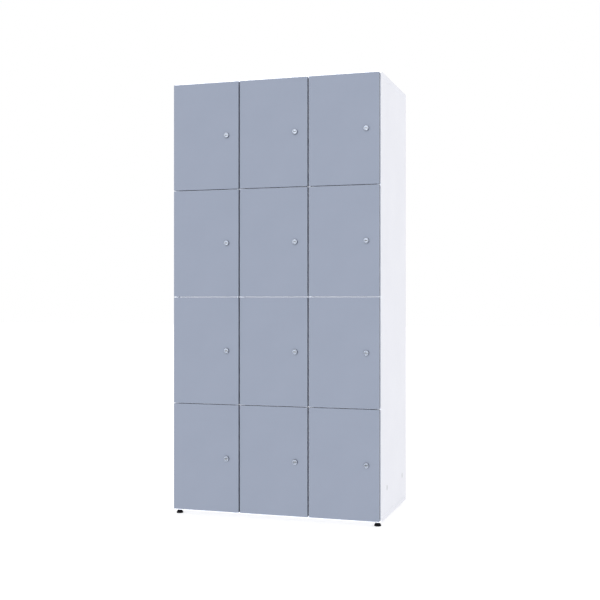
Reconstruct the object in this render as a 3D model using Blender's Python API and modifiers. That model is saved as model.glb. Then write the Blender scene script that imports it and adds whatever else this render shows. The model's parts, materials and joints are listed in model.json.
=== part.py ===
"""Coin operated locker: three columns of four doors, with a coin return lock behind each door.

Metres, +Z up. X runs across the front, the doors face -Y, and z = 0 is the floor. The origin is
the middle of the footprint. Columns c1 to c3 count from the left, and rows r1 to r4 from the top.
"""

import math

import bmesh
import bpy
from mathutils import Matrix, Vector

# Driving dimensions
COLUMNS = 3
ROWS = 4
COLUMN_WIDTH = 0.300
CARCASS_HEIGHT = 1.815
CARCASS_DEPTH = 0.505
BOARD = 0.018
BACK_BOARD = 0.006
FOOT_HEIGHT = 0.015
GAP = 0.0003  # left between pieces that touch
CUT_PAST = 0.010  # how far a cutter runs past the face that it opens

# Doors lie over the front edges of the boards
DOOR_THICKNESS = 0.018
DOOR_STANDOFF = 0.002
DOOR_SIDE_REVEAL = 0.0035
DOOR_END_REVEAL = 0.0075
ROW_GAP = 0.003
SHELF_SETBACK = 0.006

# Lock, measured from its axis and from the door's front face
LOCK_FROM_EDGE = 0.052
LOCK_PROUD = 0.007
RING_RADIUS = 0.010
RING_CHAMFER = 0.001
COLLAR_RADIUS = 0.0115
COLLAR_THICKNESS = 0.0012
COLLAR_SLOPE = 0.0005
HOUSING_RADIUS = 0.0084
PLUG_RADIUS = 0.007
PLUG_RECESS = 0.0006
KEYHOLE = (0.011, 0.0026)
KEYHOLE_DEPTH = 0.010
CASE_WIDTH = 0.060
CASE_DEPTH = 0.025
CASE_ABOVE = 0.048
CASE_BELOW = 0.078
CASE_WALL = 0.002
CAVITY_BELOW = 0.051
BOLT_SLOT_BELOW = 0.040
COIN_SLOT_HALF = 0.0015
COIN_SLOT_HEIGHTS = (0.014, 0.043)
TRAY_HALF = 0.018
TRAY_DEPTH = 0.016
TRAY_HEIGHTS = (-0.075, -0.055)
CAM_REACH = 0.046
CAM_WIDTH = 0.014
CAM_THICKNESS = 0.003
CAM_BACK = 0.028  # from the door's front face to the cam's front face
CAM_CLEARANCE = 0.0015
HOUSING_FROM_CAM = 0.002
PLUG_FROM_CAM = 0.001
SPINDLE_RADIUS = 0.004
SPINDLE_PAST_CAM = 0.010
NUT_RADIUS = 0.0065
NUT_HEIGHT = 0.004
NUT_SIDES = 6

# Concealed hinges, two to a door
HINGE_FROM_END = 0.085
CUP_FROM_EDGE = 0.0225
CUP_RADIUS = 0.020
CUP_FLANGE = 0.0012
CUP_WING = (0.015, 0.062)
ARM_LENGTH = 0.062
ARM_HEIGHT = 0.013
ARM_WIDTH = 0.014
ARM_FROM_EDGE = 0.0005
PLATE_LINE = 0.037  # the line of holes for the mounting plates, behind the boards' front edges
PLATE = (0.018, 0.050, 0.003)

# Levelling feet
FOOT_INSET = (0.017, 0.013)
REAR_FOOT_INSET = (0.045, 0.050)
FOOT_RADIUS = 0.0145
FOOT_NECK_RADIUS = 0.008
FOOT_FLARE = (  # shares of the radius and of the height, from the neck down
    (0.61, 0.70),
    (0.85, 0.40),
    (1.00, 0.30),
    (1.00, 0.06),
    (0.95, 0.00),
)
STEM_RADIUS = 0.004
STEM_LENGTH = 0.012

# Joining bolts, which hold the next locker to this one's right side
BOLT_HEIGHT = 0.137
BOLT_FROM_FRONT = {"front": 0.112, "rear": 0.420}
BOLT_RADIUS = 0.011
BOLT_PROUD = 0.0006
BOLT_RECESS = 0.003
BOLT_LENGTH = 0.015

ROUND_SIDES = 16
SMALL_SIDES = 12
SMOOTH_BELOW = math.radians(35)
MERGE = 0.0001

# Derived positions
WIDTH = COLUMNS * COLUMN_WIDTH
LEFT = -WIDTH / 2
DEPTH = LOCK_PROUD + DOOR_THICKNESS + DOOR_STANDOFF + CARCASS_DEPTH
DOOR_FRONT = -DEPTH / 2 + LOCK_PROUD
FRONT = DOOR_FRONT + DOOR_THICKNESS + DOOR_STANDOFF
REAR = FRONT + CARCASS_DEPTH
BOTTOM = FOOT_HEIGHT
TOP = BOTTOM + CARCASS_HEIGHT
INNER_BACK = REAR - BACK_BOARD - GAP
DOOR_WIDTH = COLUMN_WIDTH - 2 * DOOR_SIDE_REVEAL
ROW_PITCH = (CARCASS_HEIGHT - 2 * DOOR_END_REVEAL + ROW_GAP) / ROWS
DOOR_HEIGHT = ROW_PITCH - ROW_GAP
LOCK_X = DOOR_WIDTH - LOCK_FROM_EDGE
HINGE_OFFSETS = (DOOR_HEIGHT / 2 - HINGE_FROM_END, HINGE_FROM_END - DOOR_HEIGHT / 2)
WALL_FROM_LOCK = LOCK_FROM_EDGE + DOOR_SIDE_REVEAL - BOARD
CASE_FRONT = DOOR_THICKNESS + GAP

COLOURS = {  # linear base colour, roughness, metallic
    "door_laminate": ((0.351, 0.392, 0.497), 0.45, 0.0),
    "white_board": ((0.84, 0.85, 0.89), 0.5, 0.0),
    "lock_metal": ((0.80, 0.81, 0.83), 0.2, 1.0),
    "lock_case": ((0.06, 0.062, 0.068), 0.45, 0.0),
    "foot_plastic": ((0.015, 0.015, 0.016), 0.4, 0.0),
    "bolt_cap": ((0.72, 0.73, 0.76), 0.45, 0.0),
}


def material(name):
    colour, roughness, metallic = COLOURS[name]
    made = bpy.data.materials.new(name)
    made.use_nodes = True
    shader = made.node_tree.nodes["Principled BSDF"]
    shader.inputs["Base Color"].default_value = (*colour, 1)
    shader.inputs["Roughness"].default_value = roughness
    shader.inputs["Metallic"].default_value = metallic
    return made


def mesh_of(shape, name="shape"):
    made = bpy.data.meshes.new(name)
    shape.to_mesh(made)
    shape.free()
    return made


def box(low, high):
    """A box between two opposite corners."""
    low = Vector(low)
    high = Vector(high)
    shape = bmesh.new()
    bmesh.ops.create_cube(shape, size=1)
    place = Matrix.LocRotScale((low + high) / 2, None, high - low)
    bmesh.ops.transform(shape, matrix=place, verts=shape.verts)
    return mesh_of(shape)


def rod(radius, start, end, sides=ROUND_SIDES):
    """A cylinder from one point to another."""
    start = Vector(start)
    end = Vector(end)
    shape = bmesh.new()
    bmesh.ops.create_cone(
        shape,
        cap_ends=True,
        segments=sides,
        radius1=radius,
        radius2=radius,
        depth=(end - start).length,
    )
    place = Matrix.LocRotScale((start + end) / 2, (end - start).to_track_quat("Z", "Y"), None)
    bmesh.ops.transform(shape, matrix=place, verts=shape.verts)
    return mesh_of(shape)


def turned(profile, turn=None):
    """A profile of (radius, height) points, run down its outer side, turned about Z and then placed by turn."""
    outline = bpy.data.meshes.new("profile")
    points = [(radius, 0, height) for radius, height in profile]
    edges = [(i, i + 1) for i in range(len(points) - 1)]
    outline.from_pydata(points, edges, [])
    blank = bpy.data.objects.new("profile", outline)
    workshop.objects.link(blank)
    screw = blank.modifiers.new("turn", "SCREW")
    screw.steps = ROUND_SIDES
    screw.render_steps = ROUND_SIDES
    screw.use_merge_vertices = True
    screw.merge_threshold = MERGE
    made = evaluated(blank)
    if turn:
        made.transform(turn)
    return made


def evaluated(thing):
    """The mesh of a workshop object with its modifiers, which then leaves the workshop."""
    bpy.context.view_layer.update()
    graph = bpy.context.evaluated_depsgraph_get()
    made = bpy.data.meshes.new_from_object(thing.evaluated_get(graph))
    bpy.data.objects.remove(thing)
    return made


def built(base, joined=(), cut=()):
    """One solid: the base with the joined shapes added and the cut shapes taken away."""
    blank = bpy.data.objects.new("blank", base)
    workshop.objects.link(blank)
    tools = []
    for operation, shapes in (("UNION", joined), ("DIFFERENCE", cut)):
        for shape in shapes:
            tool = bpy.data.objects.new("tool", shape)
            workshop.objects.link(tool)
            tools.append(tool)
            change = blank.modifiers.new("shape", "BOOLEAN")
            change.operation = operation
            change.object = tool
    made = evaluated(blank)
    for tool in tools:
        bpy.data.objects.remove(tool)
    return made


def place(name, mesh, surface, at=(0, 0, 0), parent=None):
    """A named part with its material, at a point in the locker's frame."""
    part = bpy.data.objects.new(name, mesh)
    if not mesh.materials:
        mesh.materials.append(surface)
    mesh.shade_smooth()
    mesh.set_sharp_from_angle(angle=SMOOTH_BELOW)
    locker.objects.link(part)
    part.location = at
    if parent:
        part.parent = parent
        part.location = Vector(at) - parent.location
    return part


def row_centre(row):
    """The height of a row's middle, with rows counted from the top."""
    return TOP - DOOR_END_REVEAL - DOOR_HEIGHT / 2 - (row - 1) * ROW_PITCH


def column_left(column):
    """The left face of a column, with columns counted from the left."""
    return LEFT + (column - 1) * COLUMN_WIDTH


def hinge_arms(x):
    """The mounting plates and arms of one column's hinges, standing on a face at x that looks to +X."""
    shapes = []
    plate_depth, plate_height, plate_thickness = PLATE
    y = FRONT + PLATE_LINE
    for row in range(1, ROWS + 1):
        for offset in HINGE_OFFSETS:
            z = row_centre(row) + offset
            shapes.append(
                box(
                    (x - BOARD / 2, y - plate_depth / 2, z - plate_height / 2),
                    (x + plate_thickness, y + plate_depth / 2, z + plate_height / 2),
                )
            )
            shapes.append(
                box(
                    (x - BOARD / 2, FRONT + ARM_FROM_EDGE, z - ARM_WIDTH / 2),
                    (x + ARM_HEIGHT, FRONT + ARM_LENGTH, z + ARM_WIDTH / 2),
                )
            )
    return shapes


def latch_slots(x):
    """The slots that one column's cams turn into, in a face at x that looks to -X."""
    overlap = CAM_REACH - WALL_FROM_LOCK
    below = math.sqrt(CAM_REACH**2 - WALL_FROM_LOCK**2) + 2 * CAM_CLEARANCE
    y = DOOR_FRONT + CAM_BACK
    return [
        box(
            (x - BOARD / 2, y - CAM_CLEARANCE, row_centre(row) - below),
            (
                x + overlap + CAM_CLEARANCE,
                y + CAM_THICKNESS + CAM_CLEARANCE,
                row_centre(row) + CAM_WIDTH / 2 + CAM_CLEARANCE,
            ),
        )
        for row in range(1, ROWS + 1)
    ]


def bolt_points():
    """Where the joining bolts stand on the right side."""
    return {
        end: Vector((-LEFT, FRONT + distance, BOLT_HEIGHT))
        for end, distance in BOLT_FROM_FRONT.items()
    }


def bolt_seats():
    """The holes in the right side for the joining bolts' heads and stems."""
    cuts = []
    for point in bolt_points().values():
        outside = point + Vector((CUT_PAST, 0, 0))
        cuts.append(rod(BOLT_RADIUS + GAP, point - Vector((BOLT_RECESS, 0, 0)), outside))
        cuts.append(rod(STEM_RADIUS + GAP, point - Vector((BOLT_LENGTH, 0, 0)), outside, SMALL_SIDES))
    return cuts


def make_uprights():
    """The six upright boards: each column has its own pair, standing between the top and bottom boards."""
    low = BOTTOM + BOARD + GAP
    high = TOP - BOARD - GAP
    for column in range(1, COLUMNS + 1):
        left = column_left(column)
        first = column == 1
        last = column == COLUMNS
        name = "side_panel_left" if first else f"column_panel_c{column}_left"
        outer = left if first else left + GAP / 2
        depth = REAR if first else INNER_BACK
        board = box((outer, FRONT, low), (left + BOARD, depth, high))
        place(name, built(board, joined=hinge_arms(left + BOARD)), white_board)
        right = left + COLUMN_WIDTH
        name = "side_panel_right" if last else f"column_panel_c{column}_right"
        outer = right if last else right - GAP / 2
        depth = REAR if last else INNER_BACK
        board = box((right - BOARD, FRONT, low), (outer, depth, high))
        cuts = latch_slots(right - BOARD)
        if last:
            cuts += bolt_seats()
        place(name, built(board, cut=cuts), white_board)


def foot_points():
    """The four feet on the floor: the front pair stands near the corners and the rear pair further in."""
    points = {}
    for side, direction in (("left", -1), ("right", 1)):
        inset_x, inset_y = FOOT_INSET
        points[f"front_{side}"] = Vector((direction * (WIDTH / 2 - inset_x), FRONT + inset_y, 0))
        inset_x, inset_y = REAR_FOOT_INSET
        points[f"rear_{side}"] = Vector((direction * (WIDTH / 2 - inset_x), REAR - inset_y, 0))
    return points


def make_boards():
    """The top, bottom and back boards, and the shelves between the rows."""
    place("top_board", box((LEFT, FRONT, TOP - BOARD), (-LEFT, REAR, TOP)), white_board)
    board = box((LEFT, FRONT, BOTTOM), (-LEFT, REAR, BOTTOM + BOARD))
    stem_top = Vector((0, 0, BOTTOM + STEM_LENGTH + GAP))
    holes = [
        rod(STEM_RADIUS + GAP, point, point + stem_top, SMALL_SIDES)
        for point in foot_points().values()
    ]
    place("bottom_board", built(board, cut=holes), white_board)
    place(
        "back_board",
        box(
            (LEFT + BOARD + GAP, REAR - BACK_BOARD, BOTTOM + BOARD + GAP),
            (-LEFT - BOARD - GAP, REAR, TOP - BOARD - GAP),
        ),
        white_board,
    )
    length = COLUMN_WIDTH - 2 * (BOARD + GAP)
    shelf = box(
        (-length / 2, FRONT + SHELF_SETBACK, -BOARD / 2),
        (length / 2, INNER_BACK, BOARD / 2),
    )
    for column in range(1, COLUMNS + 1):
        middle = column_left(column) + COLUMN_WIDTH / 2
        for row in range(1, ROWS):
            height = row_centre(row) - ROW_PITCH / 2
            place(f"shelf_c{column}_{row}", shelf, white_board, (middle, 0, height))


def make_bolts():
    for end, point in bolt_points().items():
        head = rod(BOLT_RADIUS, (GAP - BOLT_RECESS, 0, 0), (BOLT_PROUD, 0, 0))
        stem = rod(STEM_RADIUS, (GAP - BOLT_LENGTH, 0, 0), (0, 0, 0), SMALL_SIDES)
        place(f"joining_bolt_{end}", built(head, joined=[stem]), bolt_cap, point)


def foot_mesh():
    """A moulded foot with a flared base, and the stem that turns in the bottom board."""
    neck_top = FOOT_HEIGHT - GAP
    stem_top = FOOT_HEIGHT + STEM_LENGTH
    stem = [(0, stem_top), (STEM_RADIUS, stem_top), (STEM_RADIUS, neck_top), (FOOT_NECK_RADIUS, neck_top)]
    flare = [(FOOT_RADIUS * across, FOOT_HEIGHT * up) for across, up in FOOT_FLARE]
    return turned([*stem, *flare, (0, 0)])


def door_mesh():
    """A door with the lock's hole and the hinge cups, whose origin is its front left edge at mid-height."""
    panel = box(
        (0, 0, -DOOR_HEIGHT / 2),
        (DOOR_WIDTH, DOOR_THICKNESS, DOOR_HEIGHT / 2),
    )
    wing_width, wing_height = CUP_WING
    inside = DOOR_THICKNESS / 2
    flange_top = DOOR_THICKNESS + CUP_FLANGE
    cups = []
    for offset in HINGE_OFFSETS:
        cups.append(
            rod(CUP_RADIUS, (CUP_FROM_EDGE, inside, offset), (CUP_FROM_EDGE, flange_top, offset), SMALL_SIDES)
        )
        cups.append(
            box(
                (CUP_FROM_EDGE - wing_width / 2, inside, offset - wing_height / 2),
                (CUP_FROM_EDGE + wing_width / 2, flange_top, offset + wing_height / 2),
            )
        )
    lock_hole = rod(HOUSING_RADIUS + GAP, (LOCK_X, -CUT_PAST, 0), (LOCK_X, DOOR_THICKNESS + CUT_PAST, 0))
    return built(panel, joined=cups, cut=[lock_hole])


def coin_lock_mesh():
    """The lock's case and cylinder housing, about the lock's axis, with y = 0 on the door's front face."""
    half = CASE_WIDTH / 2
    back = CASE_FRONT + CASE_DEPTH
    case = box((-half, CASE_FRONT, -CASE_BELOW), (half, back, CASE_ABOVE))
    housing_end = CAM_BACK - HOUSING_FROM_CAM
    housing = turned(
        [
            (0, LOCK_PROUD),
            (RING_RADIUS - RING_CHAMFER, LOCK_PROUD),
            (RING_RADIUS, LOCK_PROUD - RING_CHAMFER),
            (RING_RADIUS, COLLAR_THICKNESS + COLLAR_SLOPE),
            (COLLAR_RADIUS, COLLAR_THICKNESS),
            (COLLAR_RADIUS, GAP),
            (HOUSING_RADIUS, GAP),
            (HOUSING_RADIUS, -housing_end),
            (0, -housing_end),
        ],
        Matrix.Rotation(math.radians(90), 4, "X"),
    )
    cavity = box(
        (-half + CASE_WALL, CASE_FRONT + CASE_WALL, -CAVITY_BELOW),
        (half - CASE_WALL, back - CASE_WALL, CASE_ABOVE - CASE_WALL),
    )
    bolt_slot = box(
        (half - 2 * CASE_WALL, CAM_BACK - CAM_CLEARANCE, -BOLT_SLOT_BELOW),
        (half + CUT_PAST, CAM_BACK + CAM_THICKNESS + CAM_CLEARANCE, CAM_WIDTH / 2 + CAM_CLEARANCE),
    )
    low, high = COIN_SLOT_HEIGHTS
    coin_slot = box(
        (-COIN_SLOT_HALF, back - 2 * CASE_WALL, low),
        (COIN_SLOT_HALF, back + CUT_PAST, high),
    )
    low, high = TRAY_HEIGHTS
    tray = box((-TRAY_HALF, back - TRAY_DEPTH, low), (TRAY_HALF, back + CUT_PAST, high))
    bore = rod(PLUG_RADIUS + GAP, (0, -LOCK_PROUD - CUT_PAST, 0), (0, CAM_BACK, 0))
    shell = built(case, cut=[cavity, bolt_slot, coin_slot, tray])
    return built(shell, joined=[housing], cut=[bore])


def lock_cylinder_mesh():
    """The keyed plug with its spindle, cam and nut, about the lock's axis, with the cam hanging down."""
    plug_front = -LOCK_PROUD + PLUG_RECESS
    plug = rod(PLUG_RADIUS, (0, plug_front, 0), (0, CAM_BACK - PLUG_FROM_CAM, 0))
    spindle = rod(SPINDLE_RADIUS, (0, 0, 0), (0, CAM_BACK + SPINDLE_PAST_CAM, 0), SMALL_SIDES)
    cam = box(
        (-CAM_WIDTH / 2, CAM_BACK, -CAM_REACH),
        (CAM_WIDTH / 2, CAM_BACK + CAM_THICKNESS, CAM_WIDTH / 2),
    )
    cam_end = CAM_BACK + CAM_THICKNESS
    nut = rod(NUT_RADIUS, (0, cam_end - GAP, 0), (0, cam_end + NUT_HEIGHT, 0), NUT_SIDES)
    width, height = KEYHOLE
    keyhole = box(
        (-width / 2, plug_front - CUT_PAST, -height / 2),
        (width / 2, plug_front + KEYHOLE_DEPTH, height / 2),
    )
    return built(plug, joined=[spindle, cam, nut], cut=[keyhole])


def make_doors():
    """Twelve doors, each with its coin lock, and the lock's turning cylinder."""
    door = door_mesh()
    coin_lock = coin_lock_mesh()
    cylinder = lock_cylinder_mesh()
    for row in range(1, ROWS + 1):
        for column in range(1, COLUMNS + 1):
            key = f"r{row}_c{column}"
            hinge = Vector((column_left(column) + DOOR_SIDE_REVEAL, DOOR_FRONT, row_centre(row)))
            lock = hinge + Vector((LOCK_X, 0, 0))
            panel = place(f"door_{key}", door, door_laminate, hinge)
            place(f"coin_lock_{key}", coin_lock, lock_case, lock, panel)
            place(f"lock_cylinder_{key}", cylinder, lock_metal, lock, panel)


def make_feet():
    foot = foot_mesh()
    for corner, point in foot_points().items():
        place(f"foot_{corner}", foot, foot_plastic, point)


for thing in list(bpy.data.objects):
    bpy.data.objects.remove(thing)
locker = bpy.data.collections.new("coin_locker")
bpy.context.scene.collection.children.link(locker)
workshop = bpy.data.collections.new("workshop")
bpy.context.scene.collection.children.link(workshop)

door_laminate = material("door_laminate")
white_board = material("white_board")
lock_metal = material("lock_metal")
lock_case = material("lock_case")
foot_plastic = material("foot_plastic")
bolt_cap = material("bolt_cap")

make_boards()
make_uprights()
make_bolts()
make_doors()
make_feet()
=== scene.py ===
"""The coin operated locker's looks: boards, doors, hinges, coin locks and feet.

Lengths are metres. X runs across the front, the doors face -Y, and the floor is z = 0.
"""

import json
import math

import bmesh
import bpy
from mathutils import Matrix, Vector


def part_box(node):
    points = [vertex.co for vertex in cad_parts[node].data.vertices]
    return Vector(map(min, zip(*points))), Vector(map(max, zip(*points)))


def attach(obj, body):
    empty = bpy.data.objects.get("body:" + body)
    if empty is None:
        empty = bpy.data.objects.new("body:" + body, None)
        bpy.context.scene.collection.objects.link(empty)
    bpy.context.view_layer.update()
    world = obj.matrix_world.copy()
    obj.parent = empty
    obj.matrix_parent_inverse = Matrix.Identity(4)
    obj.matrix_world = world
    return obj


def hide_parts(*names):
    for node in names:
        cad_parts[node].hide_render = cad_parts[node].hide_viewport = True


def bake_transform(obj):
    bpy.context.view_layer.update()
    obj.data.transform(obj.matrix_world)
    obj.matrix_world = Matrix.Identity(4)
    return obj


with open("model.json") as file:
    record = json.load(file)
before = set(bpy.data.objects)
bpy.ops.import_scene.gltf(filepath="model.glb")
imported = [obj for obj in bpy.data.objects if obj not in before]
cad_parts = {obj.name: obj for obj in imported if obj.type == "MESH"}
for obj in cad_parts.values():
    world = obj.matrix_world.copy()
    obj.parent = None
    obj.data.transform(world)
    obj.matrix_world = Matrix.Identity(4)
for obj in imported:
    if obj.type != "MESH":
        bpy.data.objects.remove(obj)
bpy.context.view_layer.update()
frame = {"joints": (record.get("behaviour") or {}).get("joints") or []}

MM = 0.001
ROWS = 4
COLUMNS = 3
JOINTS = {joint["name"]: joint for joint in frame["joints"]}

CARCASS_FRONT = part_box("top_board")[0].y
DOOR_LOW, DOOR_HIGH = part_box("door_r1_c1")
DOOR_WIDTH = DOOR_HIGH.x - DOOR_LOW.x
DOOR_HEIGHT = DOOR_HIGH.z - DOOR_LOW.z
DOOR_THICKNESS = 18 * MM
DOOR_REVEAL = 3.5 * MM  # from the column's side to the door's edge
BOARD = 18 * MM

# Hinges, whose cups are measured in a door and whose arms from the boards' front edges
HINGE_FROM_END = 85 * MM
HINGE_OFFSET = DOOR_HEIGHT / 2 - HINGE_FROM_END
CUP_X = 22.5 * MM
CUP_BORE = 17.6 * MM
CUP_BORE_DEPTH = 12.5 * MM
PLATE_LINE = 37 * MM
PLATE_HALF_DEPTH = 9 * MM
PLATE_HALF_HEIGHT = 25 * MM
PLATE_THICKNESS = 3 * MM
ARM_START = 0.5 * MM
ARM_END = 62 * MM
ARM_HEIGHT = 13 * MM
ARM_HALF_WIDTH = 7 * MM

# Coin locks, measured from the lock's axis and back from the door's front face
LOCK_PROUD = 7 * MM
RING_RADIUS = 10 * MM
COLLAR_RADIUS = 11.5 * MM
COLLAR_THICKNESS = 1.2 * MM
HOUSING_RADIUS = 8.4 * MM
HOUSING_END = 25 * MM
HOUSING_CLEARANCE = 0.3 * MM
PLUG_RADIUS = 7 * MM
PLUG_BORE = 7.25 * MM
PLUG_END = 27 * MM
CASE_LOW, CASE_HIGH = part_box("coin_lock_r1_c1")
CASE_FRONT = DOOR_THICKNESS + 0.3 * MM
CASE_BACK = CASE_HIGH.y - DOOR_LOW.y
CASE_HALF = (CASE_HIGH.x - CASE_LOW.x) / 2
CASE_TOP = 48 * MM
CASE_BOTTOM = -78 * MM
CASE_WALL = 2 * MM
SEAM = 26 * MM
CAVITY_BOTTOM = -51 * MM
COIN_SLOT = (14 * MM, 43 * MM)
TRAY_HALF = 18 * MM
TRAY_DEPTH = 16 * MM
TRAY = (-75 * MM, -55 * MM)
TRAY_RIM = 1.6 * MM
CAM_FRONT = 28 * MM
CAM_THICKNESS = 3 * MM
CAM_REACH = 46 * MM
CAM_HALF = 7 * MM
SLOT_CLEARANCE = 1.5 * MM

CAM_SLOT_DEPTH = 10 * MM
STRIKE_THICKNESS = 0.9 * MM
STRIKE_HALF_DEPTH = 8 * MM
STRIKE_TOP = 27 * MM
STRIKE_BOTTOM = -48 * MM
STRIKE_SCREWS = (-40 * MM, 19 * MM)

THREAD_RADIUS = 4 * MM
CUT_PAST = 5 * MM  # how far a cutter runs past the face that it opens
JOINED = 0.001 * MM
SMOOTH_BELOW = math.radians(38)

# Material slots of the boards and doors, and of a lock's trim and plug
FACES, EDGES = range(2)
# The last slot of a lock's trim and plug is painted shade: on the ring's outer side and collar, and
# inside the keyhole
POLISHED, PLAIN, PAINTED_SHADE = range(3)

BACKWARD = Matrix.Rotation(math.radians(-90), 4, "X")  # turns +Z to +Y
FORWARD = Matrix.Rotation(math.radians(90), 4, "X")  # turns +Z to -Y
RIGHTWARD = Matrix.Rotation(math.radians(90), 4, "Y")  # turns +Z to +X


# Materials

def input_of(shader, name, value):
    shader.inputs[name].default_value = value


def noise(tree, coordinates, scale, detail, roughness=0.5):
    texture = tree.nodes.new("ShaderNodeTexNoise")
    texture.inputs["Scale"].default_value = scale
    texture.inputs["Detail"].default_value = detail
    texture.inputs["Roughness"].default_value = roughness
    tree.links.new(coordinates, texture.inputs["Vector"])
    return texture.outputs["Fac"]


def mapped(tree, value, low, high, start=0.3, end=0.7):
    """A value that runs from start to end, spread from low to high."""
    spread = tree.nodes.new("ShaderNodeMapRange")
    spread.inputs["From Min"].default_value = start
    spread.inputs["From Max"].default_value = end
    spread.inputs["To Min"].default_value = low
    spread.inputs["To Max"].default_value = high
    tree.links.new(value, spread.inputs["Value"])
    return spread.outputs["Result"]


def blended(tree, factor, first, second):
    mix = tree.nodes.new("ShaderNodeMix")
    mix.data_type = "RGBA"
    mix.inputs["A"].default_value = (*first, 1)
    mix.inputs["B"].default_value = (*second, 1)
    tree.links.new(factor, mix.inputs["Factor"])
    return mix.outputs["Result"]


def surface(
    name,
    colour,
    other,
    roughness,
    metallic=0.0,
    cloud=5.0,
    grain=1400.0,
    relief=0.03,
    stretch=(1, 1, 1),
):
    """A material whose colour drifts between two near tones and whose roughness varies a little.

    The drift is as fine as cloud says, and the relief as fine as grain and as strong as relief.
    """
    made = bpy.data.materials.new(name)
    made.use_nodes = True
    tree = made.node_tree
    shader = tree.nodes["Principled BSDF"]
    input_of(shader, "Metallic", metallic)
    place = tree.nodes.new("ShaderNodeTexCoord")
    mapping = tree.nodes.new("ShaderNodeMapping")
    mapping.inputs["Scale"].default_value = stretch
    tree.links.new(place.outputs["Object"], mapping.inputs["Vector"])
    coordinates = mapping.outputs["Vector"]
    drift = mapped(tree, noise(tree, coordinates, cloud, 4.0), 0.0, 1.0)
    tree.links.new(blended(tree, drift, colour, other), shader.inputs["Base Color"])
    low, high = roughness
    polish = mapped(tree, noise(tree, coordinates, cloud * 7, 5.0, 0.6), low, high)
    tree.links.new(polish, shader.inputs["Roughness"])
    bump = tree.nodes.new("ShaderNodeBump")
    bump.inputs["Strength"].default_value = relief
    bump.inputs["Distance"].default_value = 0.1 * MM
    tree.links.new(noise(tree, coordinates, grain, 3.0), bump.inputs["Height"])
    tree.links.new(bump.outputs["Normal"], shader.inputs["Normal"])
    return made


slate = surface(
    "slate_laminate",
    (0.1555, 0.177, 0.2265),
    (0.1635, 0.185, 0.236),
    (0.48, 0.56),
    relief=0.10,
)
slate_edge = surface(
    "slate_edge_band",
    (0.215, 0.245, 0.318),
    (0.227, 0.257, 0.332),
    (0.42, 0.50),
    relief=0.06,
)
white = surface(
    "white_melamine",
    (0.730, 0.738, 0.796),
    (0.750, 0.758, 0.815),
    (0.42, 0.50),
    relief=0.10,
)
white_edge = surface(
    "white_edge_band",
    (0.820, 0.845, 0.920),
    (0.840, 0.865, 0.940),
    (0.34, 0.42),
    relief=0.05,
)
hardboard = surface(
    "lacquered_hardboard",
    (0.60, 0.60, 0.61),
    (0.62, 0.62, 0.63),
    (0.50, 0.62),
    cloud=25.0,
    grain=700.0,
    relief=0.25,
)
# The nickel's light grey is its own colour; its bluish tint is a painted reflection
nickel = surface(
    "polished_nickel",
    (0.735, 0.795, 0.905),
    (0.775, 0.835, 0.945),
    (0.20, 0.28),
    metallic=1.0,
    cloud=60.0,
    grain=3000.0,
    relief=0.02,
)
# Painted shade: a dark nickel for the ring's outer side and the collar, standing in for the shade
# and shadow round the ring
nickel_painted_shade = surface(
    "nickel_painted_shade",
    (0.115, 0.132, 0.175),
    (0.140, 0.158, 0.202),
    (0.34, 0.44),
    metallic=1.0,
    cloud=60.0,
    grain=3000.0,
    relief=0.02,
)
satin_nickel = surface(
    "satin_nickel",
    (0.66, 0.67, 0.69),
    (0.74, 0.75, 0.76),
    (0.26, 0.36),
    metallic=1.0,
    cloud=40.0,
    grain=2500.0,
    relief=0.05,
)
brushed = surface(
    "brushed_steel",
    (0.58, 0.585, 0.60),
    (0.68, 0.685, 0.70),
    (0.28, 0.42),
    metallic=1.0,
    cloud=90.0,
    grain=900.0,
    relief=0.12,
    stretch=(1, 1, 0.06),
)
zinc = surface(
    "zinc_plate",
    (0.60, 0.61, 0.60),
    (0.70, 0.71, 0.69),
    (0.30, 0.44),
    metallic=1.0,
    cloud=50.0,
    grain=1800.0,
    relief=0.08,
)
# Painted shade: a near-black colour on the keyhole's inner walls, standing in for the shadow in its
# depth
painted_keyway_shade = surface(
    "keyway_painted_shade",
    (0.045, 0.056, 0.082),
    (0.055, 0.068, 0.098),
    (0.50, 0.60),
    cloud=200.0,
    grain=2600.0,
    relief=0.1,
)
case_plastic = surface(
    "moulded_case",
    (0.050, 0.052, 0.057),
    (0.062, 0.064, 0.070),
    (0.42, 0.56),
    cloud=30.0,
    grain=2200.0,
    relief=0.35,
)
foot_plastic = surface(
    "black_foot_plastic",
    (0.003, 0.003, 0.0035),
    (0.005, 0.005, 0.006),
    (0.42, 0.54),
    cloud=80.0,
    grain=2600.0,
    relief=0.15,
)
input_of(foot_plastic.node_tree.nodes["Principled BSDF"], "Specular IOR Level", 0.08)
cap_plastic = surface(
    "grey_cap_plastic",
    (0.56, 0.57, 0.60),
    (0.59, 0.60, 0.63),
    (0.40, 0.50),
    cloud=80.0,
    grain=2600.0,
    relief=0.1,
)
pad_rubber = surface(
    "bumper_rubber",
    (0.58, 0.59, 0.60),
    (0.64, 0.65, 0.66),
    (0.55, 0.68),
    cloud=120.0,
    grain=2600.0,
    relief=0.2,
)


# Shapes

def add_box(
    shape,
    low,
    high,
    radius=0.0,
    material=0,
    edge_material=None,
    front_material=None,
    segments=3,
):
    """Adds a box with rounded edges between two opposite corners. Its front looks to -Y."""
    low = Vector(low)
    high = Vector(high)
    place = Matrix.LocRotScale((low + high) / 2, None, high - low)
    made = bmesh.ops.create_cube(shape, size=1, matrix=place)
    faces = {face for vertex in made["verts"] for face in vertex.link_faces}
    for face in faces:
        front = front_material is not None and face.calc_center_median().y < low.y + JOINED
        face.material_index = front_material if front else material
    if radius:
        edges = {edge for vertex in made["verts"] for edge in vertex.link_edges}
        bmesh.ops.bevel(
            shape,
            geom=list(edges),
            offset=radius,
            segments=segments,
            profile=0.5,
            affect="EDGES",
            clamp_overlap=True,
            material=material if edge_material is None else edge_material,
        )


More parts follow.
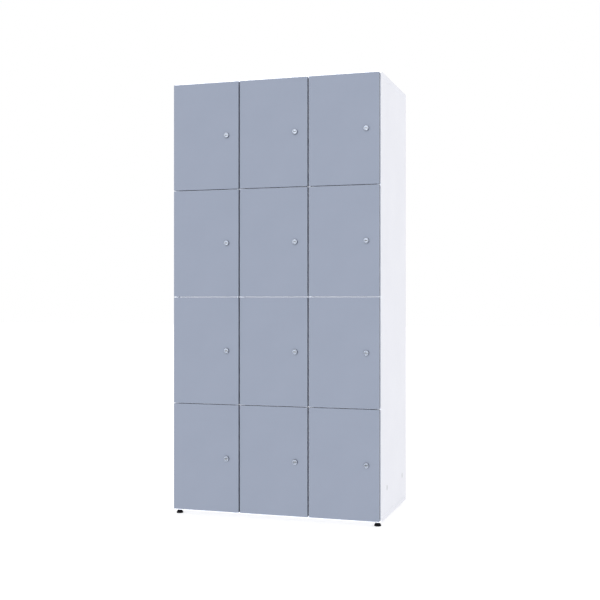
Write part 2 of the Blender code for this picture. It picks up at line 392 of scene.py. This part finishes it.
def add_turned(shape, profile, place=Matrix(), sides=40, material=0):
    """Adds a profile of (radius, height) points, turned about Z and then placed."""
    rings = []
    for radius, height in profile:
        if radius == 0:
            rings.append([shape.verts.new(place @ Vector((0, 0, height)))])
            continue
        ring = []
        for step in range(sides):
            angle = math.tau * step / sides
            point = Vector((radius * math.cos(angle), radius * math.sin(angle), height))
            ring.append(shape.verts.new(place @ point))
        rings.append(ring)
    for above, below in zip(rings, rings[1:]):
        for step in range(sides):
            after = (step + 1) % sides
            if len(above) == 1:
                corners = (above[0], below[step], below[after])
            elif len(below) == 1:
                corners = (above[step], below[0], above[after])
            else:
                corners = (above[step], below[step], below[after], above[after])
            shape.faces.new(corners).material_index = material


def add_mesh(shape, mesh, place, material=0):
    """Adds a copy of a finished mesh, placed by a matrix."""
    copy = mesh.copy()
    copy.transform(place)
    copy.polygons.foreach_set("material_index", [material] * len(copy.polygons))
    shape.from_mesh(copy)
    bpy.data.meshes.remove(copy)


def mesh_from(name, shape, materials=()):
    bmesh.ops.recalc_face_normals(shape, faces=shape.faces)
    mesh = bpy.data.meshes.new(name)
    shape.to_mesh(mesh)
    shape.free()
    for material in materials:
        mesh.materials.append(material)
    return mesh


def carved(mesh, cutters):
    """The mesh with a list of cutter meshes taken away."""
    blank = bpy.data.objects.new("blank", mesh)
    bpy.context.scene.collection.objects.link(blank)
    tools = []
    for cutter in cutters:
        tool = bpy.data.objects.new("cutter", cutter)
        bpy.context.scene.collection.objects.link(tool)
        tools.append(tool)
        cut = blank.modifiers.new("cut", "BOOLEAN")
        cut.operation = "DIFFERENCE"
        cut.object = tool
    bpy.context.view_layer.update()
    graph = bpy.context.evaluated_depsgraph_get()
    made = bpy.data.meshes.new_from_object(blank.evaluated_get(graph))
    made.name = mesh.name
    for thing in (blank, *tools):
        bpy.data.objects.remove(thing)
    return made


def box_cutter(low, high, radius=0.0):
    shape = bmesh.new()
    add_box(shape, low, high, radius)
    return mesh_from("cutter", shape)


def round_cutter(radius, start, length, sides=40):
    """A round cutter from a start point towards +Y."""
    shape = bmesh.new()
    place = Matrix.Translation(start) @ BACKWARD
    add_turned(shape, [(0, length), (radius, length), (radius, 0), (0, 0)], place, sides)
    return mesh_from("cutter", shape)


def piece(name, mesh, body, at=(0, 0, 0), replaces=()):
    """Shows a mesh as a named piece that rides on a CAD body."""
    mesh.shade_smooth()
    mesh.set_sharp_from_angle(angle=SMOOTH_BELOW)
    made = bpy.data.objects.new(name, mesh)
    bpy.context.scene.collection.objects.link(made)
    made.location = at
    facing = made.modifiers.new("even_normals", "WEIGHTED_NORMAL")
    facing.keep_sharp = True
    if body:
        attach(made, body)
    if replaces:
        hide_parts(*replaces)
    return made


def screw_head():
    """A pan head screw with a cross recess, standing on z = 0 and facing +Z."""
    shape = bmesh.new()
    radius = 3.6 * MM
    height = 1.7 * MM
    rim = 0.25  # the height of the dome's edge, as a share of the head's
    sunk = -0.5 * MM
    dome = [(0, height)]
    steps = 6
    for step in range(1, steps + 1):
        angle = math.radians(90 * step / steps)
        dome.append((radius * math.sin(angle), height * (rim + (1 - rim) * math.cos(angle))))
    add_turned(shape, dome + [(radius, sunk), (0, sunk)], sides=28)
    head = mesh_from("screw_head", shape)
    arm = 2.1 * MM
    half = 0.38 * MM
    deep = 0.5 * MM
    return carved(
        head,
        [
            box_cutter((-arm, -half, deep), (arm, half, CUT_PAST)),
            box_cutter((-half, -arm, deep), (half, arm, CUT_PAST)),
        ],
    )


SCREW = screw_head()


# Carcass

def board(name, cutters=(), materials=(white, white_edge), radius=0.8 * MM, high=None):
    """A board with softened edges in place of its CAD node."""
    low, node_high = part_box(name)
    shape = bmesh.new()
    add_box(
        shape,
        low,
        high or node_high,
        radius=radius,
        material=FACES,
        edge_material=EDGES,
        front_material=EDGES,
    )
    mesh = mesh_from(name + "_board", shape, materials)
    if cutters:
        mesh = carved(mesh, cutters)
    return piece(name + "_board", mesh, "carcass", replaces=[name])


def lock_point(row, column):
    return Vector(JOINTS[f"lock_r{row}_c{column}_turn"]["pos_m"])


def hinge_point(row, column):
    return Vector(JOINTS[f"door_r{row}_c{column}_hinge"]["pos_m"])


def slot_cutters(column, face):
    """The slots that a column's cams turn into, behind the face that looks to -X."""
    cutters = []
    below = 30 * MM
    for row in range(1, ROWS + 1):
        lock = lock_point(row, column)
        front = lock.y + CAM_FRONT - SLOT_CLEARANCE
        back = lock.y + CAM_FRONT + CAM_THICKNESS + SLOT_CLEARANCE
        low = (face - CUT_PAST, front, lock.z - below)
        high = (face + CAM_SLOT_DEPTH, back, lock.z + CAM_HALF + SLOT_CLEARANCE)
        cutters.append(box_cutter(low, high, radius=0.4 * MM))
    return cutters


def strike_plates(column, face):
    """Thin steel plates round a column's latch slots, each held by two screws."""
    name = f"strike_plates_c{column}"
    plate = bmesh.new()
    middle = CAM_FRONT + CAM_THICKNESS / 2 + SLOT_CLEARANCE
    for row in range(1, ROWS + 1):
        lock = lock_point(row, column)
        y = lock.y + middle
        add_box(
            plate,
            (face - STRIKE_THICKNESS, y - STRIKE_HALF_DEPTH, lock.z + STRIKE_BOTTOM),
            (face, y + STRIKE_HALF_DEPTH, lock.z + STRIKE_TOP),
            radius=0.4 * MM,
        )
    mesh = carved(mesh_from(name, plate), slot_cutters(column, face))
    shape = bmesh.new()
    shape.from_mesh(mesh)
    for row in range(1, ROWS + 1):
        lock = lock_point(row, column)
        for offset in STRIKE_SCREWS:
            at = (face - STRIKE_THICKNESS, lock.y + middle, lock.z + offset)
            add_mesh(shape, SCREW, Matrix.Translation(at) @ RIGHTWARD.inverted())
    piece(name, mesh_from(name, shape, [brushed]), "carcass")


def hinge_arms(column, face):
    """Mounting plates, arms and their screws for one column's hinges.

    They stand on the face that looks to +X.
    """
    name = f"hinge_arms_c{column}"
    foot_end = (4 * MM, 60 * MM)
    foot_height = 9 * MM
    foot_half = 5 * MM
    arm_base = 6 * MM
    arm_screws = (22 * MM, 50 * MM)
    shape = bmesh.new()
    y = CARCASS_FRONT
    for row in range(1, ROWS + 1):
        for side in (-1, 1):
            z = hinge_point(row, column).z + side * HINGE_OFFSET
            add_box(
                shape,
                (face, y + PLATE_LINE - PLATE_HALF_DEPTH, z - PLATE_HALF_HEIGHT),
                (face + PLATE_THICKNESS, y + PLATE_LINE + PLATE_HALF_DEPTH, z + PLATE_HALF_HEIGHT),
                radius=1.2 * MM,
            )
            add_box(
                shape,
                (face, y + foot_end[0], z - foot_half),
                (face + foot_height, y + foot_end[1], z + foot_half),
                radius=1.5 * MM,
            )
            add_box(
                shape,
                (face + arm_base, y + ARM_START, z - ARM_HALF_WIDTH),
                (face + ARM_HEIGHT, y + ARM_END, z + ARM_HALF_WIDTH),
                radius=2.6 * MM,
                segments=4,
            )
            for offset in (-18 * MM, 18 * MM):
                at = (face + PLATE_THICKNESS, y + PLATE_LINE, z + offset)
                add_mesh(shape, SCREW, Matrix.Translation(at) @ RIGHTWARD)
            for offset in arm_screws:
                at = (face + ARM_HEIGHT - 0.1 * MM, y + offset, z)
                place = Matrix.Translation(at) @ RIGHTWARD @ Matrix.Scale(0.75, 4)
                add_mesh(shape, SCREW, place)
    piece(name, mesh_from(name, shape, [satin_nickel]), "carcass")


def make_uprights():
    for column in range(1, COLUMNS + 1):
        name = "side_panel_left" if column == 1 else f"column_panel_c{column}_left"
        low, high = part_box(name)
        face = low.x + BOARD
        if column > 1:
            face = hinge_point(1, column).x - DOOR_REVEAL + BOARD
        board(name, high=Vector((face, high.y, high.z)))
        hinge_arms(column, face)
        name = "side_panel_right" if column == COLUMNS else f"column_panel_c{column}_right"
        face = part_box(name)[0].x
        board(name, cutters=slot_cutters(column, face))
        strike_plates(column, face)


def make_joining_bolts():
    """Flat round heads with a six-sided socket, just proud of the right side."""
    sunk = -3 * MM
    socket_radius = 3.6 * MM
    socket_depth = 2 * MM
    for end in ("front", "rear"):
        name = f"joining_bolt_{end}"
        low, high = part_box(name)
        centre = Vector((high.x, (low.y + high.y) / 2, (low.z + high.z) / 2))
        radius = (high.z - low.z) / 2
        shape = bmesh.new()
        add_turned(
            shape,
            [
                (0, 0),
                (radius - 1.2 * MM, 0),
                (radius - 0.4 * MM, -0.15 * MM),
                (radius, -0.6 * MM),
                (radius, sunk),
                (0, sunk),
            ],
            RIGHTWARD,
            sides=48,
        )
        socket = bmesh.new()
        add_turned(
            socket,
            [
                (0, socket_depth),
                (socket_radius, socket_depth),
                (socket_radius, -socket_depth),
                (0, -socket_depth),
            ],
            RIGHTWARD,
            sides=6,
        )
        mesh = carved(mesh_from(name, shape, [cap_plastic]), [mesh_from("socket", socket)])
        piece(name + "_head", mesh, "carcass", centre, [name])


def back_nails():
    """Flat nail heads up the back board's two sides and along the joints between columns."""
    low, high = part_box("back_board")
    shape = bmesh.new()
    rows = 9
    from_side = BOARD / 2
    from_end = 30 * MM
    joint = 150 * MM  # from the middle to the joint between two columns
    spacing = (high.z - low.z - 2 * from_end) / (rows - 1)
    head = [
        (0, 0.5 * MM),
        (3 * MM, 0.35 * MM),
        (3.5 * MM, -0.5 * MM),
        (0, -0.5 * MM),
    ]
    for x in (low.x + from_side, -joint, joint, high.x - from_side):
        for step in range(rows):
            at = (x, high.y, low.z + from_end + step * spacing)
            add_turned(shape, head, Matrix.Translation(at) @ BACKWARD, sides=20)
    piece("back_nails", mesh_from("back_nails", shape, [zinc]), "carcass")


def make_carcass():
    board("top_board")
    board("bottom_board")
    board("back_board", materials=(hardboard, hardboard), radius=0.5 * MM)
    for column in range(1, COLUMNS + 1):
        for shelf in range(1, ROWS):
            board(f"shelf_c{column}_{shelf}")
    make_uprights()
    make_joining_bolts()
    back_nails()


# Doors

def door_panel():
    """A door with eased edges, the bores for its hinge cups and the hole for its lock."""
    shape = bmesh.new()
    half = DOOR_HEIGHT / 2
    add_box(
        shape,
        (0, 0, -half),
        (DOOR_WIDTH, DOOR_THICKNESS, half),
        radius=0.6 * MM,
        material=FACES,
        edge_material=EDGES,
    )
    panel = mesh_from("door_panel", shape, [slate, slate_edge])
    lock_x = lock_point(1, 1).x - hinge_point(1, 1).x
    through = DOOR_THICKNESS + 2 * CUT_PAST
    cutters = [round_cutter(HOUSING_RADIUS + HOUSING_CLEARANCE, (lock_x, -CUT_PAST, 0), through)]
    for side in (-1, 1):
        start = (CUP_X, DOOR_THICKNESS - CUP_BORE_DEPTH, side * HINGE_OFFSET)
        cutters.append(round_cutter(CUP_BORE, start, CUP_BORE_DEPTH + CUT_PAST, sides=56))
    return carved(panel, cutters)


def hinge_cups():
    """The two pressed cups in a door's back, with their flanges and screws."""
    shape = bmesh.new()
    top = DOOR_THICKNESS
    seat = top + 0.05 * MM
    mouth = 15.4 * MM
    wall = 17.4 * MM
    flange = 20 * MM
    floor = top - 11.4 * MM
    underside = top - 12.3 * MM
    outside = [
        (mouth, top + 0.6 * MM),
        (mouth + 0.5 * MM, top + 1.2 * MM),
        (flange - 0.8 * MM, top + 1.2 * MM),
        (flange, top + 0.7 * MM),
        (flange, seat),
        (wall, seat),
        (wall, top - 11 * MM),
        (15.8 * MM, underside),
        (0, underside),
    ]
    inside = [
        (0, floor),
        (13.6 * MM, floor),
        (mouth, top - 9.6 * MM),
        (mouth, top + 0.6 * MM),
    ]
    ear_line = 24 * MM
    ear_half = 7 * MM
    for side in (-1, 1):
        centre = Vector((CUP_X, 0, side * HINGE_OFFSET))
        place = Matrix.Translation(centre) @ BACKWARD
        add_turned(shape, outside, place, sides=56)
        add_turned(shape, inside, place, sides=56)
        for end in (-1, 1):
            z = side * HINGE_OFFSET + end * ear_line
            add_box(
                shape,
                (CUP_X - ear_half, seat, z - ear_half),
                (CUP_X + ear_half, top + 1.15 * MM, z + ear_half),
                radius=0.5 * MM,
            )
            add_mesh(shape, SCREW, Matrix.Translation((CUP_X, top + 1.1 * MM, z)) @ BACKWARD)
    bmesh.ops.remove_doubles(shape, verts=shape.verts, dist=JOINED)
    return mesh_from("hinge_cups", shape, [satin_nickel])


def hinge_links(key, hinge):
    """The links between a door's cups and its arms, as they stand with the door shut. They ride on
    no body, so they don't swing out as the door opens.
    """
    shape = bmesh.new()
    x = hinge.x - DOOR_REVEAL + BOARD + 7 * MM
    steps = 36
    start_y = hinge.y + 30 * MM
    end_y = hinge.y + 9 * MM
    # Each link's lower and upper edge, then its near and far face
    wide = (-5.5 * MM, 5.5 * MM, 0, 1.8 * MM)
    narrow = (-3.5 * MM, 3.5 * MM, -3.6 * MM, -1.8 * MM)
    for side in (-1, 1):
        middle = hinge.z + side * HINGE_OFFSET
        for low, high, near, far in (wide, narrow):
            corners = [(near, low), (near, high), (far, high), (far, low)]
            rings = []
            for step in range(steps + 1):
                y = start_y + (end_y - start_y) * step / steps
                ring = [shape.verts.new((x + across, y, middle + up)) for across, up in corners]
                rings.append(ring)
            for ring, after in zip(rings, rings[1:]):
                for index in range(4):
                    following = (index + 1) % 4
                    sides = (ring[index], after[index], after[following], ring[following])
                    shape.faces.new(sides)
            shape.faces.new(rings[0])
            shape.faces.new(rings[-1])
    name = f"hinge_links_{key}"
    links = piece(name, mesh_from(name, shape, [satin_nickel]), None)
    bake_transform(links)


def bumpers():
    """Two soft pads inside the door's free edge, where it meets the carcass."""
    shape = bmesh.new()
    radius = 4 * MM
    x = DOOR_WIDTH - 8 * MM
    from_end = 40 * MM
    profile = [
        (0, 1.7 * MM),
        (radius - 1 * MM, 1.6 * MM),
        (radius - 0.3 * MM, 1 * MM),
        (radius, 0),
        (0, -0.1 * MM),
    ]
    for side in (-1, 1):
        centre = (x, DOOR_THICKNESS, side * (DOOR_HEIGHT / 2 - from_end))
        add_turned(shape, profile, Matrix.Translation(centre) @ BACKWARD, sides=28)
    return mesh_from("door_bumpers", shape, [pad_rubber])


# Coin locks, about the lock's axis, with y = 0 on the door's front face

def coin_case():
    """The moulded case: a base on the door and a cover behind it.

    The cover has a coin slot and a return tray, and a slot in its side for the cam.
    """
    base = bmesh.new()
    add_box(
        base,
        (-CASE_HALF, CASE_FRONT, CASE_BOTTOM),
        (CASE_HALF, SEAM - 0.3 * MM, CASE_TOP),
        radius=1.2 * MM,
    )
    cover = bmesh.new()
    inset = 0.5 * MM
    add_box(
        cover,
        (-CASE_HALF + inset, SEAM - 0.4 * MM, CASE_BOTTOM + inset),
        (CASE_HALF - inset, CASE_BACK, CASE_TOP - inset),
        radius=2.2 * MM,
        segments=4,
    )
    cavity = (
        (-CASE_HALF + CASE_WALL, CASE_FRONT + CASE_WALL, CAVITY_BOTTOM),
        (CASE_HALF - CASE_WALL, CASE_BACK - CASE_WALL, CASE_TOP - CASE_WALL),
    )
    cam_slot = (
        (CASE_HALF - 2 * CASE_WALL, CAM_FRONT - SLOT_CLEARANCE, -CAM_REACH + 6 * MM),
        (
            CASE_HALF + CUT_PAST,
            CAM_FRONT + CAM_THICKNESS + SLOT_CLEARANCE,
            CAM_HALF + SLOT_CLEARANCE,
        ),
    )
    half = 1.5 * MM
    coin_slot = (
        (-half, CASE_BACK - 6 * MM, COIN_SLOT[0]),
        (half, CASE_BACK + CUT_PAST, COIN_SLOT[1]),
    )
    tray = (
        (-TRAY_HALF, CASE_BACK - TRAY_DEPTH, TRAY[0]),
        (TRAY_HALF, CASE_BACK + CUT_PAST, TRAY[1]),
    )
    front = carved(mesh_from("case_base", base), [box_cutter(*cavity)])
    back = carved(
        mesh_from("case_cover", cover),
        [
            box_cutter(*cavity),
            box_cutter(*cam_slot),
            box_cutter(*coin_slot),
            box_cutter(*tray, radius=1.5 * MM),
        ],
    )
    shape = bmesh.new()
    add_mesh(shape, front, Matrix())
    add_mesh(shape, back, Matrix())
    rim_low = CASE_BACK - 1 * MM
    rim_high = CASE_BACK + 1.2 * MM
    side = TRAY_HALF + 2 * MM
    for z in (-52.6 * MM, -77 * MM):
        add_box(shape, (-side, rim_low, z), (side, rim_high, z + TRAY_RIM), radius=0.6 * MM)
    for x in (-side, side - TRAY_RIM):
        low = (x, rim_low, -76.5 * MM)
        high = (x + TRAY_RIM, rim_high, -51.5 * MM)
        add_box(shape, low, high, radius=0.6 * MM)
    return mesh_from("coin_lock_case", shape, [case_plastic])


def coin_trim():
    """The lock's collar, ring and housing, and the coin slot's plate and the case's screws."""
    shape = bmesh.new()
    proud = LOCK_PROUD
    bore = PLUG_BORE
    lip = proud - 1.2 * MM
    seat = 0.05 * MM
    add_turned(
        shape,
        [
            (bore, lip),
            (bore + 0.5 * MM, proud - 0.3 * MM),
            (bore + 0.8 * MM, proud),
            (RING_RADIUS - 0.9 * MM, proud),
            (RING_RADIUS - 0.3 * MM, proud - 0.25 * MM),
            (RING_RADIUS, proud - 0.9 * MM),
            (RING_RADIUS, COLLAR_THICKNESS + 0.6 * MM),
            (RING_RADIUS + 0.3 * MM, COLLAR_THICKNESS + 0.2 * MM),
            (COLLAR_RADIUS - 0.5 * MM, COLLAR_THICKNESS),
            (COLLAR_RADIUS, COLLAR_THICKNESS - 0.4 * MM),
            (COLLAR_RADIUS, seat),
            (HOUSING_RADIUS, seat),
            (HOUSING_RADIUS, -HOUSING_END),
            (bore, -HOUSING_END),
            (bore, lip),
        ],
        FORWARD,
        sides=64,
    )
    bmesh.ops.remove_doubles(shape, verts=shape.verts, dist=JOINED)
    # The ring's outer side and the collar take painted shade
    for face in shape.faces:
        middle = face.calc_center_median()
        if math.hypot(middle.x, middle.z) > RING_RADIUS - 0.1 * MM:
            face.material_index = PAINTED_SHADE
    plate = bmesh.new()
    add_box(
        plate,
        (-7 * MM, CASE_BACK - 0.2 * MM, COIN_SLOT[0] - 4 * MM),
        (7 * MM, CASE_BACK + 1 * MM, COIN_SLOT[1] + 4 * MM),
        radius=0.45 * MM,
    )
    half = 1.45 * MM
    slot = box_cutter(
        (-half, CASE_BACK - CUT_PAST, COIN_SLOT[0]),
        (half, CASE_BACK + CUT_PAST, COIN_SLOT[1]),
    )
    add_mesh(shape, carved(mesh_from("coin_plate", plate), [slot]), Matrix(), PLAIN)
    for x in (-23.5 * MM, 23.5 * MM):
        for z in (-44 * MM, 41 * MM):
            place = Matrix.Translation((x, CASE_BACK - 0.1 * MM, z)) @ BACKWARD
            add_mesh(shape, SCREW, place, PLAIN)
    return mesh_from("lock_trim", shape, [nickel, brushed, nickel_painted_shade])


def cam_blade():
    """The cam's blade: round about the lock's axis, and a narrower round tip below."""
    blade = bmesh.new()
    steps = 12
    tip = CAM_HALF * 0.8
    outline = []
    for step in range(steps + 1):
        angle = math.radians(180 * step / steps)
        outline.append((CAM_HALF * math.cos(angle), CAM_HALF * math.sin(angle)))
    for step in range(steps + 1):
        angle = math.radians(180 + 180 * step / steps)
        outline.append((tip * math.cos(angle), -CAM_REACH + tip + tip * math.sin(angle)))
    front = blade.faces.new([blade.verts.new((x, CAM_FRONT, z)) for x, z in outline])
    grown = bmesh.ops.extrude_face_region(blade, geom=[front])
    moved = [item for item in grown["geom"] if isinstance(item, bmesh.types.BMVert)]
    bmesh.ops.translate(blade, verts=moved, vec=(0, CAM_THICKNESS, 0))
    return mesh_from("blade", blade)


def lock_plug():
    """The keyed plug, its spindle, and the cam with a washer and nut."""
    front = LOCK_PROUD - 0.6 * MM
    plug = bmesh.new()
    add_turned(
        plug,
        [
            (0, front),
            (PLUG_RADIUS - 0.7 * MM, front),
            (PLUG_RADIUS, front - 0.6 * MM),
            (PLUG_RADIUS, -PLUG_END),
            (0, -PLUG_END),
        ],
        FORWARD,
        sides=48,
    )
    deep = 4 * MM
    before = -20 * MM
    keyhole = [
        box_cutter((-5.5 * MM, before, -1.25 * MM), (5.5 * MM, deep, 1.25 * MM), radius=0.5 * MM),
        box_cutter((-2.6 * MM, before, 0), (-1.4 * MM, deep, 2 * MM)),
    ]
    shape = bmesh.new()
    add_mesh(shape, carved(mesh_from("plug", plug), keyhole), Matrix(), POLISHED)
    # The keyhole's inner walls take painted shade
    for face in shape.faces:
        middle = face.calc_center_median()
        if middle.y > 0.2 * MM - front and math.hypot(middle.x, middle.z) < 6 * MM:
            face.material_index = PAINTED_SHADE
    spindle_start = PLUG_END - 1 * MM
    spindle_end = CAM_FRONT + 10 * MM
    add_turned(
        shape,
        [
            (0, -spindle_start),
            (THREAD_RADIUS, -spindle_start),
            (THREAD_RADIUS, -spindle_end + 0.5 * MM),
            (THREAD_RADIUS - 0.5 * MM, -spindle_end),
            (0, -spindle_end),
        ],
        FORWARD,
        sides=32,
        material=PLAIN,
    )
    add_mesh(shape, cam_blade(), Matrix(), PLAIN)
    washer = [
        (0, 0.9 * MM),
        (6.8 * MM, 0.9 * MM),
        (7 * MM, 0.7 * MM),
        (7 * MM, -0.1 * MM),
        (0, -0.1 * MM),
    ]
    nut = [
        (0, 5 * MM),
        (5.6 * MM, 5 * MM),
        (6.4 * MM, 4.4 * MM),
        (6.4 * MM, 0.8 * MM),
        (0, 0.8 * MM),
    ]
    place = Matrix.Translation((0, CAM_FRONT + CAM_THICKNESS, 0)) @ BACKWARD
    add_turned(shape, washer, place, sides=40, material=PLAIN)
    add_turned(shape, nut, place, sides=6, material=PLAIN)
    return mesh_from("lock_plug", shape, [nickel, zinc, painted_keyway_shade])


def make_doors():
    panel = door_panel()
    cups = hinge_cups()
    pads = bumpers()
    case = coin_case()
    trim = coin_trim()
    plug = lock_plug()
    for row in range(1, ROWS + 1):
        for column in range(1, COLUMNS + 1):
            key = f"r{row}_c{column}"
            body = f"door_{key}"
            cylinder = f"lock_cylinder_{key}"
            hinge = hinge_point(row, column)
            lock = lock_point(row, column)
            piece(f"door_panel_{key}", panel, body, hinge, [f"door_{key}"])
            piece(f"hinge_cups_{key}", cups, body, hinge)
            piece(f"door_bumpers_{key}", pads, body, hinge)
            piece(f"coin_lock_case_{key}", case, body, lock, [f"coin_lock_{key}"])
            piece(f"lock_trim_{key}", trim, body, lock)
            piece(f"lock_plug_{key}", plug, cylinder, lock, [cylinder])
            hinge_links(key, hinge)


# Feet

def foot_mesh(height, radius):
    """A flared foot with grip flutes round its base."""
    shape = bmesh.new()
    top = height - 0.3 * MM
    profile = [
        (0, top),
        (9 * MM, top),
        (9.4 * MM, height - 0.8 * MM),
        (9.9 * MM, height * 0.82),
        (10.9 * MM, height * 0.66),
        (12.1 * MM, height * 0.5),
        (13.2 * MM, height * 0.38),
        (radius - 0.5 * MM, height * 0.31),
        (radius, height * 0.26),
        (radius, height * 0.07),
        (radius - 0.6 * MM, 0),
        (0, 0),
    ]
    add_turned(shape, profile, sides=96)
    flutes = 16
    depth = 0.035  # as a share of the radius
    for vertex in shape.verts:
        across = math.hypot(vertex.co.x, vertex.co.y)
        if across > 11 * MM and vertex.co.z > 0.5 * MM:
            wave = 0.5 + 0.5 * math.cos(flutes * math.atan2(vertex.co.y, vertex.co.x))
            shrink = 1 - depth * wave**2
            vertex.co.x *= shrink
            vertex.co.y *= shrink
    return mesh_from("levelling_foot", shape, [foot_plastic])


def make_feet():
    carcass_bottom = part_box("bottom_board")[0].z
    low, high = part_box("foot_front_left")
    foot = foot_mesh(carcass_bottom, (high.x - low.x) / 2)
    stem_bottom = carcass_bottom - 1 * MM
    for corner in ("front_left", "front_right", "rear_left", "rear_right"):
        name = f"foot_{corner}"
        at = JOINTS[f"{name}_thread"]["pos_m"]
        piece(f"{name}_moulding", foot, name, at, [name])
        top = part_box(name)[1].z
        profile = [
            (0, top),
            (THREAD_RADIUS - 0.6 * MM, top),
            (THREAD_RADIUS, top - 0.6 * MM),
            (THREAD_RADIUS, stem_bottom),
            (0, stem_bottom),
        ]
        stem = bmesh.new()
        add_turned(stem, profile, sides=28)
        piece(f"{name}_stem", mesh_from(f"{name}_stem", stem, [zinc]), name, at)


# Studio

FLOOR_HALF = 30.0
FLOOR_DROP = 0.5 * MM  # below the feet, so that the two never share a plane
FLOOR_GLOW = 0.62
WHITE = (1, 1, 1, 1)
LENS = 60.8
CAMERA_PLACE = (1.345, DOOR_LOW.y - 3.959, 0.9098)
CAMERA_TURN = 17.253
LIT_POINT = (0, -0.2, 0.9)
# What is reflected from in front of the doors. The bands are parts of a ray's direction.
DIM = 0.44
BRIGHT = 1.15
FADE = (-0.2, 0.2)  # up or down
STEEP_LIGHT = 1.8
STEEP = (-0.62, -0.42)  # up or down
AHEAD = (-0.5, 0.0)  # along Y

# Each sun's name, place, strength and angle across in degrees
SUNS = (
    ("key", (-0.5, -4.4, 4.2), 0.83, 10),
    ("front", (-0.75, -4.2, 0.92), 2.48, 3),
)


def make_floor():
    """A floor that glows enough to look white. No reflection shows it, and it casts no shadow."""
    shape = bmesh.new()
    bmesh.ops.create_grid(shape, x_segments=2, y_segments=2, size=FLOOR_HALF)
    pale = surface(
        "pale_floor",
        (0.42, 0.42, 0.42),
        (0.44, 0.44, 0.44),
        (0.75, 0.85),
        cloud=1.5,
        grain=60.0,
        relief=0.02,
    )
    glow = pale.node_tree.nodes["Principled BSDF"]
    input_of(glow, "Emission Color", WHITE)
    input_of(glow, "Emission Strength", FLOOR_GLOW)
    mesh = mesh_from("floor", shape, [pale])
    floor = bpy.data.objects.new("floor", mesh)
    floor.location.z = -FLOOR_DROP
    floor.visible_glossy = False
    floor.visible_shadow = False
    bpy.context.scene.collection.objects.link(floor)


def make_world():
    """White surroundings, even to the eye and as light.

    Only what is reflected from in front of the doors differs: it fades from bright, high up, to dim,
    low down, and is bright again where a reflected ray points steeply down.
    """
    world = bpy.data.worlds.new("studio")
    world.use_nodes = True
    tree = world.node_tree
    direction = tree.nodes.new("ShaderNodeTexCoord").outputs["Generated"]
    split = tree.nodes.new("ShaderNodeSeparateXYZ")
    tree.links.new(direction, split.inputs["Vector"])
    fade = mapped(tree, split.outputs["Z"], DIM, BRIGHT, *FADE)
    steep = mapped(tree, split.outputs["Z"], STEEP_LIGHT, 0.0, *STEEP)
    level = tree.nodes.new("ShaderNodeMath")
    tree.links.new(fade, level.inputs[0])
    tree.links.new(steep, level.inputs[1])
    ahead = mapped(tree, split.outputs["Y"], 1.0, 0.0, *AHEAD)
    reflected = tree.nodes.new("ShaderNodeLightPath").outputs["Is Glossy Ray"]
    share = tree.nodes.new("ShaderNodeMath")
    share.operation = "MULTIPLY"
    tree.links.new(ahead, share.inputs[0])
    tree.links.new(reflected, share.inputs[1])
    strength = tree.nodes.new("ShaderNodeMix")
    strength.inputs["A"].default_value = 1.0
    tree.links.new(share.outputs["Value"], strength.inputs["Factor"])
    tree.links.new(level.outputs["Value"], strength.inputs["B"])
    background = tree.nodes["Background"]
    background.inputs["Color"].default_value = WHITE
    tree.links.new(strength.outputs["Result"], background.inputs["Strength"])
    bpy.context.scene.world = world


def make_light():
    """A key from above and a level light from the front. No reflection shows either."""
    middle = Vector(LIT_POINT)
    for name, location, energy, angle in SUNS:
        light = bpy.data.lights.new(name, "SUN")
        light.energy = energy
        light.angle = math.radians(angle)
        lamp = bpy.data.objects.new(name, light)
        lamp.location = location
        lamp.visible_glossy = False
        lamp.rotation_euler = (middle - lamp.location).to_track_quat("-Z", "Y").to_euler()
        bpy.context.scene.collection.objects.link(lamp)


def make_camera():
    """Level at mid-height and right of the front, so that upright edges stay upright."""
    lens = bpy.data.cameras.new("camera")
    lens.sensor_width = 36
    lens.lens = LENS
    camera = bpy.data.objects.new("camera", lens)
    camera.location = CAMERA_PLACE
    camera.rotation_euler = (math.radians(90), 0, math.radians(CAMERA_TURN))
    bpy.context.scene.collection.objects.link(camera)
    bpy.context.scene.camera = camera
    bpy.context.scene.view_settings.view_transform = "Standard"


make_camera()
make_carcass()
make_doors()
make_feet()
make_floor()
make_world()
make_light()
